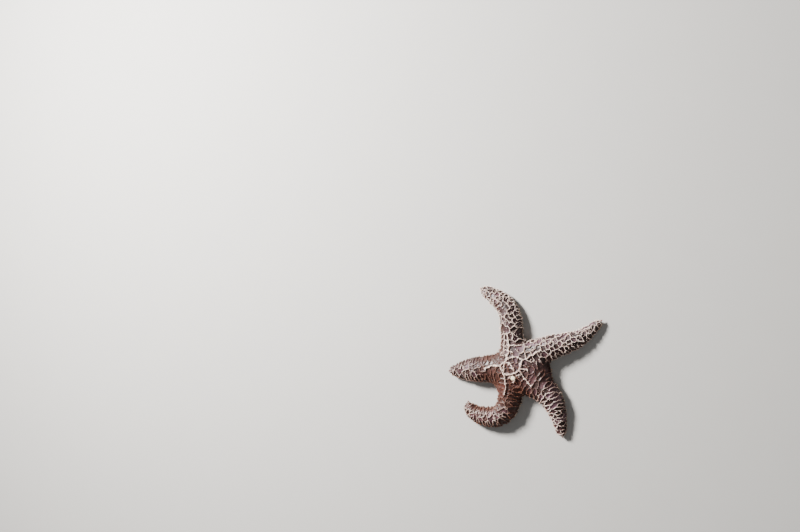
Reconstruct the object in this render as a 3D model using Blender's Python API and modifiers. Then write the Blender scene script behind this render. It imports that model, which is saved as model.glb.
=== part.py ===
"""Ochre sea star (Pisaster ochraceus) with five arms, life size, resting on its underside.

Metres, +Z up. The whole body is one coarse cage with a subdivision surface over it: five
arms that are lofts of one changing section, joined round a domed disc. Thin cuts then part
it into the disc and the lengths of each arm. The surface is the outer reach of the short
spines. The madreporite, the jaws round the mouth and the eyespots are pieces of their own.
"""
import math
from dataclasses import dataclass

import bmesh
import bpy
import numpy as np
from mathutils import Matrix, Vector

MM = 0.001

# ---- driving dimensions, in millimetres ------------------------------------------------
GAP = 0.3                    # between neighbouring pieces
DISC_HEIGHT = 27.0           # floor to the top of the disc
RIDGE_START = 26.0           # from the middle of the disc to where an arm's ridge begins
RIDGE_START_HEIGHT = 25.5
DISC_TOP_RADIUS = 13.0       # the nearly level top of the disc
DISC_TOP_DROP = 0.4
WEB_TOP_HEIGHT = 22.5        # the surface between two arms, above the web
RING_SPACING = 9.5           # rings of the cage along an arm
GROOVE_HALF_WIDTH = 4.5      # the open groove with the tube feet, under each arm
GROOVE_DEPTH = 6.5
GROOVE_START = 15.0
MOUTH_HEIGHT = 8.5           # floor to the roof of the mouth
MOUTH_RADIUS = 8.5
FLAT_BELOW = 1.0             # what lies lower than this rests on the floor
ARM_RISE = 1.32              # height of an arm for each millimetre of its half width
ARM_RISE_FROM = 1.0
ARM_HEIGHT_LIMIT = 24.0
GROOVE_SHARE = 0.34          # the groove takes no more than this share of the half width
SUBDIVISION_LOSS = 1.03      # the surface lies this much inside its cage
LINE_STEPS = 200             # an arm's middle line is summed in this many steps
CUT_REACH = 1.5              # a cut takes in faces this many half widths away
SHARP_ANGLE = 40             # edges that turn more than this many degrees are drawn sharp

# An arm's half width is given at these shares of its length; its end is a half ellipse.
WIDTH_STATIONS = (0.30, 0.50, 0.70, 0.88)
CAP_RINGS = (0.45, 0.75, 0.93)
TIP_MIDDLE = 0.38            # height of the tip's point, as a share of the arm's height

# Half of the section: (across, up) as shares of the half width and of the height.
SECTION_SIDE = {
    "shoulder": (0.54, 0.90),
    "flank": (0.89, 0.60),
    "bulge": (1.00, 0.27),
    "foot": (0.87, 0.0),
    "pad": (0.55, 0.0),
}
# The same places on the web between two arms: (radius less the web's, height).
WEB_SIDE = {
    "shoulder": (-9.0, WEB_TOP_HEIGHT),
    "flank": (-2.5, 14.5),
    "bulge": (0.5, 6.0),
    "foot": (-1.5, 0.0),
    "pad": (-9.0, 0.0),
}
JAW_CORNER = 14.0            # radius at which two neighbouring grooves meet


@dataclass
class Arm:
    """One arm. Angles in degrees, anticlockwise seen from above; lengths in millimetres."""
    name: str
    heading: float           # where it leaves the disc
    length: float            # middle of the disc to the tip, along the arm
    turns: tuple             # (start, end, angle), with start and end as shares of the length
    half_widths: tuple       # at WIDTH_STATIONS
    cap_start: float         # share of the length at which the end begins to close
    free_from: float         # distance from the middle at which the arm stands free
    web_radius: float        # the web on its anticlockwise side
    web_direction: float
    lengths: tuple           # names of the lengths that it is parted into


THREE_LENGTHS = ("base", "middle", "tip")
ARMS = (
    Arm("arm_b", 34, 134, ((0.15, 0.50, -20), (0.56, 0.87, 26)),
        (19.2, 16.0, 12.6, 8.4), 0.89, 44.0, 40.0, 67, THREE_LENGTHS),
    Arm("arm_a", 102, 127, ((0.11, 0.32, -9), (0.46, 0.76, 55)),
        (16.4, 16.8, 14.2, 11.0), 0.87, 37.0, 32.0, 142, THREE_LENGTHS),
    Arm("arm_e", 181, 101, ((0.16, 0.46, 3),),
        (19.6, 18.8, 16.0, 10.6), 0.85, 37.0, 40.0, 216, ("base", "tip")),
    Arm("arm_d", 255, 126.5, ((0.33, 0.70, -80), (0.75, 1.00, -74)),
        (18.0, 16.4, 14.8, 12.2), 0.88, 38.0, 36.0, 281, THREE_LENGTHS),
    Arm("arm_c", 325, 113, ((0.30, 0.80, -45),),
        (19.8, 17.8, 13.8, 9.6), 0.87, 44.0, 50.5, 358, THREE_LENGTHS),
)

MADREPORITE_WEB = "arm_d"    # it lies towards the web between this arm and the next
MADREPORITE_RADIUS = 12.5
MADREPORITE_WIDTH = 6.4
MADREPORITE_THICKNESS = 3.2
MADREPORITE_PROUD = 0.9
MADREPORITE_SEGMENTS = 18

JAW_LENGTH = 6.0
JAW_WIDTH = 5.4
JAW_HEIGHT = 3.4
JAW_LIFT = 0.6
JAW_RADIUS = 6.6             # middle of a jaw from the middle of the mouth
JAW_POINT = (0.35, 0.75)     # width and height of its inner end, as shares
JAW_EDGE = 0.9

EYESPOT_RADIUS = 0.9
EYESPOT_INSET = 0.25         # how far its middle lies under the surface
EYESPOT_SEGMENTS = 8

PURPLE_SKIN = (0.105, 0.052, 0.048)
ORANGE_SKIN = (0.190, 0.085, 0.048)
PALE_PLATE = (0.80, 0.72, 0.58)
PALE_JAW = (0.66, 0.48, 0.36)
EYESPOT_RED = (0.42, 0.03, 0.02)


# ---- an arm's middle line and section --------------------------------------------------
def eased(share):
    share = np.clip(share, 0.0, 1.0)
    return share * share * (3 - 2 * share)


def headings(arm, distance):
    """Heading in radians at each distance along the arm."""
    share = np.asarray(distance) / arm.length
    angle = np.full(share.shape, float(arm.heading))
    for start, end, turn in arm.turns:
        angle = angle + turn * eased((share - start) / (end - start))
    return np.radians(angle)


def middle_line(arm, distance):
    """Plan position and left-hand direction of the arm's middle at one distance."""
    steps = (np.arange(LINE_STEPS) + 0.5) / LINE_STEPS * distance
    angle = headings(arm, steps)
    end = float(headings(arm, np.array([distance]))[0])
    centre = Vector((np.cos(angle).mean(), np.sin(angle).mean())) * distance
    return centre, Vector((-math.sin(end), math.cos(end)))


def half_width(arm, distance):
    """Half width before the end closes, smooth through the stations."""
    share = distance / arm.length
    stations = np.array(WIDTH_STATIONS)
    widths = np.array(arm.half_widths)
    slopes = np.gradient(widths, stations)
    share = min(max(share, stations[0]), stations[-1])
    i = min(np.searchsorted(stations, share, side="right") - 1, len(stations) - 2)
    run = stations[i + 1] - stations[i]
    t = (share - stations[i]) / run
    start = widths[i] * (1 + 2 * t) * (1 - t) ** 2 + slopes[i] * run * t * (1 - t) ** 2
    end = widths[i + 1] * t * t * (3 - 2 * t) + slopes[i + 1] * run * t * t * (t - 1)
    return float(start + end)


def arm_height(width):
    return min(ARM_RISE * width + ARM_RISE_FROM, ARM_HEIGHT_LIMIT)


def closing(arm, distance):
    """1 along the arm, falling to 0 at its tip as a half ellipse does."""
    start = arm.cap_start * arm.length
    share = max(0.0, (distance - start) / (arm.length - start))
    return math.sqrt(max(0.0, 1 - share * share))


def section(arm, distance):
    """The closed ring of cage points at one distance: over the ridge, then under."""
    centre, left = middle_line(arm, distance)
    width = half_width(arm, distance)
    height = arm_height(width)
    close = closing(arm, distance)
    groove = min(GROOVE_HALF_WIDTH, GROOVE_SHARE * width)
    side = [(a * width * SUBDIVISION_LOSS, up * height) for a, up in SECTION_SIDE.values()]
    side.append((groove, 0.0))
    outline = [(0.0, height)] + side + [(0.0, GROOVE_DEPTH * groove / GROOVE_HALF_WIDTH)]
    outline += [(-across, up) for across, up in reversed(side)]
    middle = TIP_MIDDLE * height
    ring = []
    for across, up in outline:
        plan = centre + left * across * close
        ring.append(Vector((plan.x, plan.y, middle + (up - middle) * close)))
    return ring


def ring_distances(arm):
    cap = arm.cap_start * arm.length
    count = round((cap - arm.free_from) / RING_SPACING)
    along = np.linspace(arm.free_from, cap, count + 1)
    rest = arm.length - cap
    return [float(d) for d in along] + [cap + rest * share for share in CAP_RINGS]


# ---- the cage --------------------------------------------------------------------------
def polar(radius, degrees, height):
    angle = math.radians(degrees)
    return Vector((radius * math.cos(angle), radius * math.sin(angle), height))


def on_arm(arm, distance, height):
    centre, _ = middle_line(arm, distance)
    return Vector((centre.x, centre.y, height))


def bridge(bm, ring, following):
    count = len(ring)
    for i in range(count):
        j = (i + 1) % count
        bm.faces.new((ring[i], ring[j], following[j], following[i]))


def body_cage():
    """One closed cage: arms, webs, the top of the disc and the underside round the mouth."""
    bm = bmesh.new()

    def vert(point):
        return bm.verts.new(point * MM)

    webs = []
    for arm in ARMS:
        web = [vert(polar(arm.web_radius + inwards, arm.web_direction, height))
               for inwards, height in WEB_SIDE.values()]
        web.append(vert(polar(JAW_CORNER, arm.web_direction, 0.0)))
        webs.append(web)
    ridges = [vert(on_arm(arm, RIDGE_START, RIDGE_START_HEIGHT)) for arm in ARMS]
    roofs = [vert(on_arm(arm, GROOVE_START, GROOVE_DEPTH)) for arm in ARMS]
    level = DISC_HEIGHT - DISC_TOP_DROP
    top_ridges = [vert(on_arm(arm, DISC_TOP_RADIUS, level)) for arm in ARMS]
    top_webs = [vert(polar(DISC_TOP_RADIUS, arm.web_direction, level)) for arm in ARMS]
    apex = vert(Vector((0, 0, DISC_HEIGHT)))
    mouth = vert(Vector((0, 0, MOUTH_HEIGHT)))
    mouth_arms = [vert(on_arm(arm, MOUTH_RADIUS, MOUTH_HEIGHT)) for arm in ARMS]
    mouth_webs = [vert(polar(MOUTH_RADIUS, arm.web_direction, MOUTH_HEIGHT)) for arm in ARMS]
    for k, arm in enumerate(ARMS):
        left, right = webs[k], webs[k - 1]
        ring = [ridges[k]] + left + [roofs[k]] + right[::-1]
        for distance in ring_distances(arm):
            following = [vert(point) for point in section(arm, distance)]
            bridge(bm, ring, following)
            ring = following
        end, _ = middle_line(arm, arm.length)
        height = TIP_MIDDLE * arm_height(half_width(arm, arm.length))
        tip = vert(Vector((end.x, end.y, height)))
        for i in range(len(ring)):
            bm.faces.new((ring[i - 1], ring[i], tip))
        bm.faces.new((ridges[k], left[0], top_webs[k], top_ridges[k]))
        bm.faces.new((right[0], ridges[k], top_ridges[k], top_webs[k - 1]))
        bm.faces.new((apex, top_webs[k - 1], top_ridges[k], top_webs[k]))
        bm.faces.new((left[-1], roofs[k], mouth_arms[k], mouth_webs[k]))
        bm.faces.new((roofs[k], right[-1], mouth_webs[k - 1], mouth_arms[k]))
        bm.faces.new((mouth, mouth_webs[k - 1], mouth_arms[k], mouth_webs[k]))
    bmesh.ops.recalc_face_normals(bm, faces=bm.faces[:])
    mesh = bpy.data.meshes.new("body_cage")
    bm.to_mesh(mesh)
    bm.free()
    return mesh


def whole_body():
    """The subdivided body as a bmesh, with small flats where it rests on the floor."""
    cage = bpy.data.objects.new("body_cage", body_cage())
    bpy.context.scene.collection.objects.link(cage)
    smooth = cage.modifiers.new("smooth", "SUBSURF")
    smooth.levels = 1
    smooth.render_levels = 1
    evaluated = cage.evaluated_get(bpy.context.evaluated_depsgraph_get())
    bm = bmesh.new()
    bm.from_mesh(bpy.data.meshes.new_from_object(evaluated))
    bpy.data.objects.remove(cage)
    for v in bm.verts:
        if v.co.z < FLAT_BELOW * MM:
            v.co.z = 0.0
    return bm


# ---- parting the body ------------------------------------------------------------------
def part_body(bm, centre, along, reach):
    """Cut a gap across one arm at a point, and close both faces of the cut."""
    half_gap = 0.5 * GAP * MM
    near = [f for f in bm.faces if (f.calc_center_median() - centre).length < reach]
    for side in (-1, 1):
        geometry = set(near)
        for face in near:
            geometry.update(face.edges)
            geometry.update(face.verts)
        cut = bmesh.ops.bisect_plane(bm, geom=list(geometry), dist=1e-7,
                                     plane_co=centre + along * (side * half_gap),
                                     plane_no=along)
        near = [item for item in cut["geom"] if isinstance(item, bmesh.types.BMFace)]
    between = [f for f in near
               if abs((f.calc_center_median() - centre).dot(along)) < 0.9 * half_gap]
    bmesh.ops.delete(bm, geom=between, context="FACES")
    open_edges = [e for e in bm.edges if e.is_boundary]
    bmesh.ops.holes_fill(bm, edges=open_edges, sides=0)


def cut_distances(arm):
    """Cuts lie a quarter of the way between two rings, clear of the surface's own edges."""
    rings = ring_distances(arm)
    straight = rings[:-len(CAP_RINGS)]
    step = straight[1] - straight[0]
    count = len(arm.lengths)
    picks = [round(i * (len(straight) - 1) / count) for i in range(count)]
    return [straight[pick] + step / 4 for pick in picks]


def islands(bm):
    """Groups of joined faces."""
    left = set(bm.faces)
    groups = []
    while left:
        group = {left.pop()}
        waiting = list(group)
        while waiting:
            face = waiting.pop()
            for edge in face.edges:
                for other in edge.link_faces:
                    if other in left:
                        left.remove(other)
                        group.add(other)
                        waiting.append(other)
        groups.append(group)
    return groups


def piece_places():
    """Name of each piece of the body and a point near its middle."""
    places = {"disc": Vector((0, 0, 0.5 * DISC_HEIGHT))}
    for arm in ARMS:
        cuts = cut_distances(arm) + [arm.length]
        for i, name in enumerate(arm.lengths):
            middle = 0.5 * (cuts[i] + cuts[i + 1])
            height = 0.5 * arm_height(half_width(arm, middle))
            places[f"{arm.name}_{name}"] = on_arm(arm, middle, height)
    return places


def mesh_of(faces, name):
    """A new mesh with only these faces."""
    bm = bmesh.new()
    copies = {}
    for face in faces:
        for v in face.verts:
            if v not in copies:
                copies[v] = bm.verts.new(v.co)
        bm.faces.new([copies[v] for v in face.verts])
    bmesh.ops.recalc_face_normals(bm, faces=bm.faces[:])
    mesh = bpy.data.meshes.new(name)
    bm.to_mesh(mesh)
    bm.free()
    return mesh


# ---- objects ---------------------------------------------------------------------------
def material(name, colour, roughness):
    made = bpy.data.materials.new(name)
    made.use_nodes = True
    shader = made.node_tree.nodes["Principled BSDF"]
    shader.inputs["Base Color"].default_value = (*colour, 1.0)
    shader.inputs["Roughness"].default_value = roughness
    shader.inputs["Metallic"].default_value = 0.0
    made.diffuse_color = (*colour, 1.0)
    return made


def add_object(name, mesh, collection, finish):
    made = bpy.data.objects.new(name, mesh)
    collection.objects.link(made)
    mesh.materials.append(finish)
    mesh.shade_smooth()
    mesh.set_sharp_from_angle(angle=math.radians(SHARP_ANGLE))
    return made


def ball_mesh(name, size, turn, centre, segments):
    """A ball stretched to size, turned and put at its place."""
    bm = bmesh.new()
    bmesh.ops.create_uvsphere(bm, u_segments=segments, v_segments=segments // 2, radius=0.5)
    bmesh.ops.scale(bm, vec=size * MM, verts=bm.verts[:])
    bmesh.ops.transform(bm, matrix=turn, verts=bm.verts[:])
    bmesh.ops.translate(bm, vec=centre * MM, verts=bm.verts[:])
    mesh = bpy.data.meshes.new(name)
    bm.to_mesh(mesh)
    bm.free()
    return mesh


def socket(target, cutter_mesh, cutters):
    """Sink a hollow into a piece, for the piece that sits in it."""
    cutter = bpy.data.objects.new(cutter_mesh.name, cutter_mesh)
    cutter.hide_render = True
    cutter.display_type = "WIRE"
    cutters.objects.link(cutter)
    hollow = target.modifiers.new(cutter.name, "BOOLEAN")
    hollow.operation = "DIFFERENCE"
    hollow.solver = "EXACT"
    hollow.object = cutter


def surface_point(target, start, direction):
    """Where a ray from outside meets a piece, with the surface's normal."""
    hit, point, normal, _ = target.ray_cast(start * MM, direction)
    assert hit, target.name
    return point / MM, normal


def add_madreporite(pieces, parts, cutters, finish):
    web = next(arm.web_direction for arm in ARMS if arm.name == MADREPORITE_WEB)
    start = polar(MADREPORITE_RADIUS, web, 3 * DISC_HEIGHT)
    point, normal = surface_point(pieces["disc"], start, Vector((0, 0, -1)))
    turn = normal.to_track_quat("Z", "Y").to_matrix().to_4x4()
    centre = point + normal * (MADREPORITE_PROUD - 0.5 * MADREPORITE_THICKNESS)
    size = Vector((MADREPORITE_WIDTH, MADREPORITE_WIDTH, MADREPORITE_THICKNESS))
    room = Vector((2 * GAP, 2 * GAP, 2 * GAP))
    hollow = ball_mesh("madreporite_socket", size + room, turn, centre, MADREPORITE_SEGMENTS)
    socket(pieces["disc"], hollow, cutters)
    plate = ball_mesh("madreporite", size, turn, centre, MADREPORITE_SEGMENTS)
    add_object("madreporite", plate, parts, finish)


def add_eyespots(pieces, parts, cutters, finish):
    """A red bead at the very end of each arm."""
    for arm in ARMS:
        tip = pieces[f"{arm.name}_{arm.lengths[-1]}"]
        end, left = middle_line(arm, arm.length)
        outwards = Vector((left.y, -left.x, 0))
        height = TIP_MIDDLE * arm_height(half_width(arm, arm.length))
        start = Vector((end.x, end.y, height)) + outwards * 10
        point, normal = surface_point(tip, start, -outwards)
        centre = point - normal * EYESPOT_INSET
        size = Vector((2, 2, 2)) * EYESPOT_RADIUS
        room = Vector((2, 2, 2)) * GAP
        turn = Matrix.Identity(4)
        name = f"eyespot_{arm.name[-1]}"
        hollow = ball_mesh(f"{name}_socket", size + room, turn, centre, EYESPOT_SEGMENTS)
        socket(tip, hollow, cutters)
        add_object(name, ball_mesh(name, size, turn, centre, EYESPOT_SEGMENTS), parts, finish)


def add_jaws(parts, finish):
    """Five blunt jaws round the mouth, one below each web, clear of the mouth's roof."""
    for k, arm in enumerate(ARMS):
        neighbour = ARMS[(k + 1) % len(ARMS)]
        letters = "".join(sorted(arm.name[-1] + neighbour.name[-1]))
        bm = bmesh.new()
        bmesh.ops.create_cube(bm, size=1.0)
        bmesh.ops.scale(bm, vec=Vector((JAW_LENGTH, JAW_WIDTH, JAW_HEIGHT)) * MM, verts=bm.verts[:])
        for v in bm.verts:
            if v.co.x < 0:
                v.co.y *= JAW_POINT[0]
                v.co.z *= JAW_POINT[1]
        bmesh.ops.bevel(bm, geom=bm.edges[:], offset=JAW_EDGE * MM, segments=2, affect="EDGES",
                        profile=0.5, material=-1)
        bmesh.ops.translate(bm, verts=bm.verts[:],
                            vec=Vector((JAW_RADIUS, 0, JAW_LIFT + 0.5 * JAW_HEIGHT)) * MM)
        bmesh.ops.rotate(bm, verts=bm.verts[:], cent=(0, 0, 0),
                         matrix=Matrix.Rotation(math.radians(arm.web_direction), 3, "Z"))
        mesh = bpy.data.meshes.new(f"jaw_{letters}")
        bm.to_mesh(mesh)
        bm.free()
        add_object(mesh.name, mesh, parts, finish)


def centre_on_floor(collections):
    """Put the origin under the middle of the whole star's box."""
    parts = collections[0]
    corners = [v.co for ob in parts.objects for v in ob.data.vertices]
    low = [min(c[i] for c in corners) for i in range(2)]
    high = [max(c[i] for c in corners) for i in range(2)]
    shift = Matrix.Translation((-(low[0] + high[0]) / 2, -(low[1] + high[1]) / 2, 0))
    for collection in collections:
        for ob in collection.objects:
            ob.data.transform(shift)


def main():
    for ob in list(bpy.data.objects):
        bpy.data.objects.remove(ob)
    parts = bpy.data.collections.new("ochre_sea_star")
    cutters = bpy.data.collections.new("cutters")
    for collection in (parts, cutters):
        bpy.context.scene.collection.children.link(collection)

    body = whole_body()
    for arm in ARMS:
        for distance in cut_distances(arm):
            centre, left = middle_line(arm, distance)
            middle = 0.5 * arm_height(half_width(arm, distance))
            along = Vector((left.y, -left.x, 0))
            part_body(body, Vector((centre.x, centre.y, middle)) * MM, along,
                      CUT_REACH * half_width(arm, distance) * MM)
    places = piece_places()
    purple = material("purple_skin", PURPLE_SKIN, 0.45)
    orange = material("orange_skin", ORANGE_SKIN, 0.45)
    pieces = {}
    for group in islands(body):
        middle = sum((f.calc_center_median() for f in group), Vector()) / len(group)
        name = min(places, key=lambda n: (places[n] * MM - middle).length)
        finish = orange if name.startswith(("arm_d", "arm_e")) else purple
        pieces[name] = add_object(name, mesh_of(group, name), parts, finish)
    body.free()
    assert set(pieces) == set(places), sorted(set(places) - set(pieces))

    add_madreporite(pieces, parts, cutters, material("pale_plate", PALE_PLATE, 0.6))
    add_eyespots(pieces, parts, cutters, material("eyespot_red", EYESPOT_RED, 0.3))
    add_jaws(parts, material("pale_jaw", PALE_JAW, 0.55))
    centre_on_floor((parts, cutters))


main()
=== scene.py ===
"""Ochre sea star (Pisaster ochraceus) at life size: skin, spines, underside, light and camera.

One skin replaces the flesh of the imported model. It is an even mesh of the solids, moved in
by the depth of the coat and sunk between a net of ridges. The ridges follow the borders of
cells that a fixed random draw spreads over the skin, and a few strong lines: a ring round
the disc, a line out along each arm and some short ones. Blunt spines stand on the ridges;
longer spines, the grooves and the tube feet make the underside.
"""

import math
from dataclasses import dataclass

import bmesh
import bpy
import numpy as np
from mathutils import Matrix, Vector, noise
from mathutils.bvhtree import BVHTree
from mathutils.kdtree import KDTree
from numpy.linalg import norm


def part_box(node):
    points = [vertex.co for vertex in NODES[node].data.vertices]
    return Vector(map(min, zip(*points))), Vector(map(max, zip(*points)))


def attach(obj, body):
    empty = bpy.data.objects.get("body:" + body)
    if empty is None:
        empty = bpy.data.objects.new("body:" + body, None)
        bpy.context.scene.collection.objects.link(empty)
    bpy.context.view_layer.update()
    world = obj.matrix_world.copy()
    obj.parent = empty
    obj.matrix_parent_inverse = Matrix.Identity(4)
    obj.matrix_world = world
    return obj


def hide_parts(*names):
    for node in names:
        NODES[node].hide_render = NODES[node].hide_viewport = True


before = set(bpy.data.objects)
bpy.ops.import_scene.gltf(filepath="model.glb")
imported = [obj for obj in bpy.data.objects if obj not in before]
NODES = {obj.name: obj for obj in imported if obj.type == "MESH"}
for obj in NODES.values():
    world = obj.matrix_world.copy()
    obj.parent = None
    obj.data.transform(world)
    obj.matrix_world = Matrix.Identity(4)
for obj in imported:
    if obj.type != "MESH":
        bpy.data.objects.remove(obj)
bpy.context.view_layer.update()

MM = 0.001
RANDOM = np.random.default_rng(11)
draw = RANDOM.uniform

# ---- the body, as the solids have it ----
JAWS = sorted(name for name in NODES if name.startswith("jaw_"))


def middle_of_mouth():
    """The middle of the circle that the jaws stand on, in plan."""
    spots = []
    for name in JAWS:
        corners = {tuple(round(c, 6) for c in v.co) for v in NODES[name].data.vertices}
        spots.append(np.mean(sorted(corners), 0)[:2])
    spots = np.array(spots)
    terms = np.hstack((2 * spots, np.ones((len(spots), 1))))
    solved = np.linalg.lstsq(terms, (spots ** 2).sum(1), rcond=None)[0]
    return np.round(solved[:2], 6)


DISC_CENTRE = middle_of_mouth()


@dataclass
class Arm:
    """One arm's middle line and markings: angles in degrees, length in millimetres.

    A marking has three shares near the disc and three further out: on the left flank,
    on the ridge and on the right flank.
    """
    heading: float
    length: float
    turns: tuple  # (start, end, angle), start and end as shares of the length
    orange: tuple  # how orange the skin is, rather than purple
    lilac_and_sheen: tuple  # how lilac the skin in the cells is: partly its own tint, partly painted wet sheen
    pale: tuple  # how white the spines are; low values in the web between arm_b and arm_c are partly painted shade
    striped_from: tuple  # degrees past which a flank's cells are cross stripes: left, right
    corner: tuple  # its corner of the ring: from the disc's middle, and degrees left
    bow: float  # how far the ring's side to the next corner bulges out
    line: tuple  # where its strong line runs: twice (along, to the left)


ARMS = (
    Arm(34, 134, ((0.15, 0.5, -20), (0.56, 0.87, 26)),  # arm_b
        orange=((0.05, 0.15, 0.65), (0.05, 0.15, 0.6)),
        lilac_and_sheen=((1, 0.3, 0), (0.6, 0.3, 0)),
        # Dull spines on its right flank near the disc: partly their own colour, partly painted
        # shade of the web towards arm_c.
        pale=((0.95, 1.05, 0.1), (1.1, 1.15, 0.85)), striped_from=(60, 40),
        corner=(20, 2), bow=4.5, line=((31, -1), (48, 0))),
    Arm(102, 127, ((0.11, 0.32, -9), (0.46, 0.76, 55)),  # arm_a
        orange=((0.95, 0.2, 0.1), (0.75, 0.25, 0.25)),
        lilac_and_sheen=((0, 0.2, 0.8), (0, 0.1, 0.3)),
        pale=((0.7, 1.1, 0.95), (1, 1.15, 1.05)), striped_from=(50, 60),
        corner=(13, 28), bow=0, line=((20, 1), (44, 0))),
    Arm(181, 101, ((0.16, 0.46, 3),),  # arm_e
        orange=((1, 0.8, 0.9), (1, 0.35, 0.25)),
        lilac_and_sheen=((0, 0, 0), (0, 0.55, 0.1)),
        pale=((0.2, 0.3, 0.12), (0.5, 0.9, 0.45)), striped_from=(15, 25),
        corner=(17, -12), bow=-1, line=((27, -4), (40, 0))),
    Arm(255, 126.5, ((0.33, 0.7, -80), (0.75, 1, -74)),  # arm_d
        orange=((0.95, 0.95, 1), (1, 0.75, 1)),
        lilac_and_sheen=((0, 0, 0), (0, 0.5, 0)),
        pale=((0, 0.05, 0.1), (0.12, 0.9, 0.35)), striped_from=(15, 20),
        corner=(13, -44), bow=3, line=((20, -4), (35, -3))),
    Arm(325, 113, ((0.3, 0.8, -45),),  # arm_c
        orange=((0.5, 0.6, 1), (0.45, 0.4, 1)),
        lilac_and_sheen=((0.2, 0.2, 0), (0.7, 1, 0.1)),
        # Dull spines on its left flank near the disc: partly their own colour, partly painted
        # shade of the web towards arm_b.
        pale=((0.05, 0.15, 0.25), (0.6, 1.2, 0.6)), striped_from=(8, 12),
        corner=(12, 30), bow=-1, line=((21, 0.5), (35, -2))),
)
ARM_LENGTHS = np.array([arm.length * MM for arm in ARMS])
BLEND = 5 * MM  # over about this width one arm's markings give way to the next
LINE_STEP = 0.5 * MM
PAST_TIP = 4 * MM
SECTION_STEP = 2 * MM
SECTION_MIDDLE = 0.36  # height of a section's middle, as a share of its height
TIP_SIZE = (1.5 * MM, 3 * MM)  # least half width and height of a section

# ---- skin ----
VOXEL = 0.8 * MM
CLOSE_GAPS = 0.36 * MM  # the solids stand a little less than this apart
SOCKET_WALL = 0.37 * MM  # from a small part's box to the end of its socket
SMOOTHINGS = 26
COAT_DEPTH = 1.15 * MM  # from the reach of the spines to the skin's ridges
CELL_DEPTH = 1.25 * MM  # how far the skin sinks between the ridges
ORAL_DEPTH = 2.2 * MM  # the same under the body
ORAL_EDGE = (11 * MM, 7 * MM)  # heights between which the underside begins
RIDGE_HALF_WIDTH = 0.56 * MM
STRONG_HALF_WIDTH = 0.66 * MM

# ---- cells of the net ----
CELL = (7.6, 5.4)  # millimetres across a cell, at an arm's root and at its tip
STRIPE = (5.6, 4.3)  # the same along the arm, where cells are cross stripes
STRIPE_RUN = 20.0  # and across it
STRIPES_START = (16 * MM, 27 * MM)  # distances along an arm between which they begin
STRIPE_EDGE = 0.20  # radians round the section over which cells turn into stripes
CELL_TAPER = (0.25, 0.95)  # shares of an arm between which its cells shrink
CELL_VARIETY = 0.30
WEB_GROWTH = 0.45  # how much longer the cells are between two arms
WEB_START = (16 * MM, 24 * MM)  # distances from the disc's middle
SPACING_SHARE = 0.80  # the seeds of two cells lie no closer than this share of a cell
PAIRED_LINES = 6  # the ring and the arms' lines have seeds on both sides
LINE_CELL = 7 * MM  # stations of the paired seeds along a strong line
LINE_PAIR = 3.4 * MM  # each of a pair lies this far from its strong line
NEIGHBOURS = 14  # cells that may border on a point
GONE_SHARE = 0.13  # this share of the borders is left out
WARP = 1.2 * MM  # how far the borders wander
SPUR_CELL = 3.6  # millimetres across a cell of the finer net that makes spurs
SPUR_SHARE = 0.22  # this share of its borders is spurs
LINE_EDGE = (1.8 * MM, 1.1 * MM)  # a strong line's hold fades out between these from it

# ---- markings ----
FLANK_EDGE = np.radians((12, 58))  # angles between the ridge's markings and the flank's
FAR_OUT = (34 * MM, 62 * MM)  # distances along an arm, from near values to far
DULL_DISC = (21 * MM, 13 * MM)  # spines are duller inside these from the middle
SPURS_START = (15 * MM, 21 * MM)  # spurs begin between these from the middle

# ---- spines ----
SPINE_SPACING = 0.82 * MM
SPINE_RADIUS = 0.43 * MM
SPINE_HEIGHT = 1.25 * MM
SPINE_SIDES = 6
PATCH = 0.0015  # half of a spine's patch on the bake map
PATCH_RISE = 0.97  # its tip's ring is this much nearer to the patch's middle
MOST_TRIANGLES = 190000  # in a piece of joined spines
PLATE_RIM = (3 * MM, 4.3 * MM)  # more spines root this far from the madreporite's middle
PLATE_CLEAR = 2.9 * MM  # and none nearer than this


def fade(low, high, value):
    """From 0 at low to 1 at high, smoothly."""
    share = np.clip((value - low) / (high - low), 0.0, 1.0)
    return share * share * (3 - 2 * share)


# ---- arm coordinates ----
def middle_line(arm):
    """Points, headings and distances along an arm's middle, a little past its tip."""
    length = arm.length * MM
    distance = np.arange(0.0, length + PAST_TIP, LINE_STEP)
    share = np.clip((distance + 0.5 * LINE_STEP) / length, 0.0, 1.0)
    angle = np.full(distance.shape, float(arm.heading))
    for start, end, turn in arm.turns:
        angle += turn * fade(start, end, share)
    angle = np.radians(angle)
    steps = np.stack((np.cos(angle), np.sin(angle)), 1) * LINE_STEP
    points = DISC_CENTRE + np.vstack((np.zeros(2), np.cumsum(steps, 0)[:-1]))
    return points, angle, distance


LINES = [middle_line(arm) for arm in ARMS]


def along_and_across(points, k):
    """Distance along arm k and to its left, for each plan point."""
    line, angle, distance = LINES[k]
    nearest = np.empty(len(points), int)
    for start in range(0, len(points), 20000):
        part = points[start:start + 20000]
        apart = (line ** 2).sum(1) - 2 * part @ line.T
        nearest[start:start + 20000] = apart.argmin(1)
    offset = points - line[nearest]
    heading = angle[nearest]
    along = offset[:, 0] * np.cos(heading) + offset[:, 1] * np.sin(heading)
    across = offset[:, 1] * np.cos(heading) - offset[:, 0] * np.sin(heading)
    return distance[nearest] + along, across


def arm_coordinates(co):
    """For each point: the nearest arm, distance along it, and to the left and share of all."""
    found = np.array([along_and_across(co[:, :2], k) for k in range(len(ARMS))])
    along, across = found[:, 0], found[:, 1]
    past = np.maximum(along - ARM_LENGTHS[:, None], -along)
    apart = np.hypot(across, np.maximum(0, past))
    arm = apart.argmin(0)
    share = np.exp(-(apart - apart.min(0)) / BLEND)
    pick = np.arange(len(co))
    return arm, along[arm, pick], across, share / share.sum(0)


def along_arm(k, places, sideways):
    """Plan points at distances along arm k and to its left."""
    line, heading, distance = LINES[k]
    turned = np.interp(places, distance, heading)
    x = np.interp(places, distance, line[:, 0]) - np.sin(turned) * sideways
    y = np.interp(places, distance, line[:, 1]) + np.cos(turned) * sideways
    return np.stack((x, y), 1)


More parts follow.
